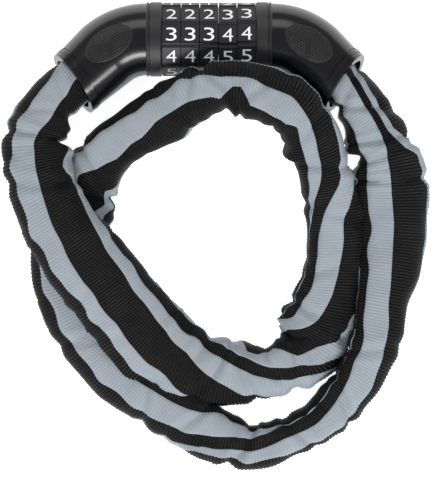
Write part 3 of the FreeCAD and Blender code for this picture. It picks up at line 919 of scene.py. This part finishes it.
def digit_mesh(digit):
    """Flat raised outline of one generic numeral, centred, in its own plane.

    A 1 keeps the font's proportions and the others share one width.
    """
    text = bpy.data.curves.new("digit", "FONT")
    text.body = str(digit)
    text.size = 1.0
    text.extrude = 0.02
    text.offset = -0.006
    text.resolution_u = 5
    holder = bpy.data.objects.new("digit", text)
    scene.collection.objects.link(holder)
    bpy.context.view_layer.update()
    mesh = bpy.data.meshes.new_from_object(holder)
    bpy.data.objects.remove(holder)
    corners = np.array([v.co[:] for v in mesh.vertices])
    low, high = corners.min(axis=0), corners.max(axis=0)
    size = high - low
    wide = NUMERAL_WIDTH if digit != 1 else NUMERAL_HEIGHT * size[0] / size[1]
    scale = Vector((wide / size[0], NUMERAL_HEIGHT / size[1], NUMERAL_DEPTH / size[2]))
    middle = Vector((low + high) / 2)
    for v in mesh.vertices:
        moved = v.co - middle
        v.co = Vector((moved.x * scale.x, moved.y * scale.y, moved.z * scale.z))
    return mesh


def numeral_ring(name, digits, shown, slack, centre_x):
    """One dial's numerals as a single object round the barrel's axis."""
    build = bmesh.new()
    for n in range(PADS):
        angle = math.radians(INDEX_ANGLE + slack + 360 / PADS * n)
        outward = Vector((0, math.sin(angle), math.cos(angle)))
        up = Vector((0, math.cos(angle), -math.sin(angle)))
        place = Matrix.Identity(4)
        place.col[0] = (1, 0, 0, 0)
        place.col[1] = (*up, 0)
        place.col[2] = (*outward, 0)
        place.translation = Vector((centre_x, AXIS_Y, AXIS_Z)) + outward * PAD_DISTANCE
        place.translation -= up * NUMERAL_DROP
        copy = digits[(shown - n) % PADS].copy()
        copy.transform(place)
        build.from_mesh(copy)
        bpy.data.meshes.remove(copy)
    mesh = bpy.data.meshes.new(name)
    build.to_mesh(mesh)
    build.free()
    mesh.materials.clear()
    mesh.materials.append(NUMERAL.material)
    obj = bpy.data.objects.new(name, mesh)
    scene.collection.objects.link(obj)
    return obj


digits = [digit_mesh(n) for n in range(PADS)]
for k, (shown, slack) in enumerate(zip(SHOWN, DIAL_SLACK), start=1):
    low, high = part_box("number_dial_%d" % k)
    numerals = numeral_ring("numerals_%d" % k, digits, shown, slack, (low[0] + high[0]) / 2)
    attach(numerals, "dial_%d" % k)
for mesh in digits:
    bpy.data.meshes.remove(mesh)

# ------------------------------------------------------------------ grip panels
# The left elbow's shape, and the panel's place on it: the bend starts at the collar's end
# and turns into a straight leg that widens towards the mouth.
COLLAR_END = 23.5 * MM
BEND_RADIUS = 23.2 * MM
ELBOW_RADIUS = 13.6 * MM
ELBOW_TURN = math.radians(42)
LEG_TAPER = 0.079
GRIP_PLACE = (-37.2 * MM, -2.6 * MM)
GRIP_TURN = math.radians(32)
GRIP_LONG = 10.0 * MM
GRIP_SHORT = 5.8 * MM
GRIP_RINGS, GRIP_SPOKES = 60, 240
GRIP_PITCH = 1.0 * MM
GRIP_RELIEF = 0.075 * MM
GRIP_RAISE = 0.08 * MM
GRIP_SINK = 0.02 * MM


def elbow_height(x, y):
    """Height of the left elbow's front surface over the barrel's axis plane."""
    rel = Vector((x + COLLAR_END, y + BEND_RADIUS))
    angle = math.atan2(-rel.x, rel.y)
    if angle < ELBOW_TURN:
        off = rel.length - BEND_RADIUS
        radius = ELBOW_RADIUS
    else:
        radial = Vector((-math.sin(ELBOW_TURN), math.cos(ELBOW_TURN)))
        along = Vector((-math.cos(ELBOW_TURN), -math.sin(ELBOW_TURN)))
        off = rel.dot(radial) - BEND_RADIUS
        radius = ELBOW_RADIUS - LEG_TAPER * rel.dot(along)
    return math.sqrt(max(radius**2 - off**2, 0.0))


def grip_panel(name, mirror):
    """An oval patch with two fields of fine crossed ribs and a plain band between them."""
    rings, spokes = GRIP_RINGS, GRIP_SPOKES
    verts, faces = [], []
    for i in range(rings + 1):
        for k in range(spokes):
            share = max(i, 0.02) / rings
            angle = 2 * math.pi * k / spokes
            a = share * GRIP_LONG * math.cos(angle)
            b = share * GRIP_SHORT * math.sin(angle)
            x = GRIP_PLACE[0] + a * math.cos(GRIP_TURN) - b * math.sin(GRIP_TURN)
            y = GRIP_PLACE[1] + a * math.sin(GRIP_TURN) + b * math.cos(GRIP_TURN)
            ribs_a = math.cos(2 * math.pi * (a + 0.6 * b) / GRIP_PITCH)
            ribs_b = math.cos(2 * math.pi * (a - 0.6 * b) / (GRIP_PITCH * 1.05))
            field = min(1.0, max(0.0, (abs(a - 0.35 * b) - 0.9 * MM) / (0.5 * MM)))
            field *= min(1.0, max(0.0, (0.97 - share) / 0.06))
            rise = GRIP_RAISE * min(1.0, (1.0 - share) / 0.05)
            rise += field * GRIP_RELIEF * (ribs_a + ribs_b)
            z = elbow_height(x, y) + rise - GRIP_SINK
            verts.append((x * mirror, y + AXIS_Y, z + AXIS_Z))
    for i in range(rings):
        for k in range(spokes):
            a, b = i * spokes + k, i * spokes + (k + 1) % spokes
            quad = (a, a + spokes, b + spokes, b)
            faces.append(quad if mirror > 0 else quad[::-1])
    centre = tuple(np.mean([verts[k] for k in range(spokes)], axis=0))
    verts.append(centre)
    for k in range(spokes):
        tri = (k, (k + 1) % spokes, len(verts) - 1)
        faces.append(tri[::-1] if mirror > 0 else tri)
    obj = new_mesh(name, verts, faces)
    obj.data.materials.append(GRIP)
    return obj


for side_name, mirror, body in (("left", 1, ROOT), ("right", -1, BOLT)):
    panel = grip_panel(side_name + "_grip_mesh", mirror)
    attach(panel, body)
    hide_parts(side_name + "_grip_panel")

# ------------------------------------------------------------------ floor and lights
FLOOR = Nodes("floor_paper", Roughness=0.9)
FLOOR.shader.inputs["Specular IOR Level"].default_value = 0.1
FLOOR_TONE = FLOOR.ramp(FLOOR.noise(3.0), (0.3, grey(0.90)), (0.7, grey(0.93)))
FLOOR.link(FLOOR_TONE, "Base Color")
FLOOR.link(FLOOR_TONE, "Emission Color")
FLOOR.shader.inputs["Emission Strength"].default_value = 0.95
floor = new_mesh("floor", [(-4, -4, 0), (4, -4, 0), (4, 4, 0), (-4, 4, 0)], [(0, 1, 2, 3)])
floor.data.materials.append(FLOOR.material)

world = bpy.data.worlds.new("studio")
world.use_nodes = True
background = world.node_tree.nodes["Background"]
background.inputs["Color"].default_value = (1.0, 1.0, 1.0, 1.0)
background.inputs["Strength"].default_value = 0.40
scene.world = world


def softbox(name, place, aim, size, power):
    """A rectangular area light, its power in watts."""
    light = bpy.data.lights.new(name, "AREA")
    light.shape = "RECTANGLE"
    light.size, light.size_y = size
    light.energy = power
    lamp = bpy.data.objects.new(name, light)
    lamp.location = place
    lamp.rotation_mode = "QUATERNION"
    lamp.rotation_quaternion = (Vector(aim) - Vector(place)).to_track_quat("-Z", "Y")
    scene.collection.objects.link(lamp)


CENTRE = (0.0, -0.06, 0.0)
softbox("front_box", (0.15, -1.0, 0.76), CENTRE, (0.9, 0.28), 15.5)
softbox("back_box", (-0.2, 0.95, 0.9), CENTRE, (1.2, 0.6), 6.0)
softbox("left_box", (-1.1, 0.1, 0.8), CENTRE, (0.8, 0.6), 4.0)
softbox("right_box", (1.1, -0.1, 0.8), CENTRE, (0.8, 0.6), 3.5)
scene.view_settings.view_transform = "Standard"
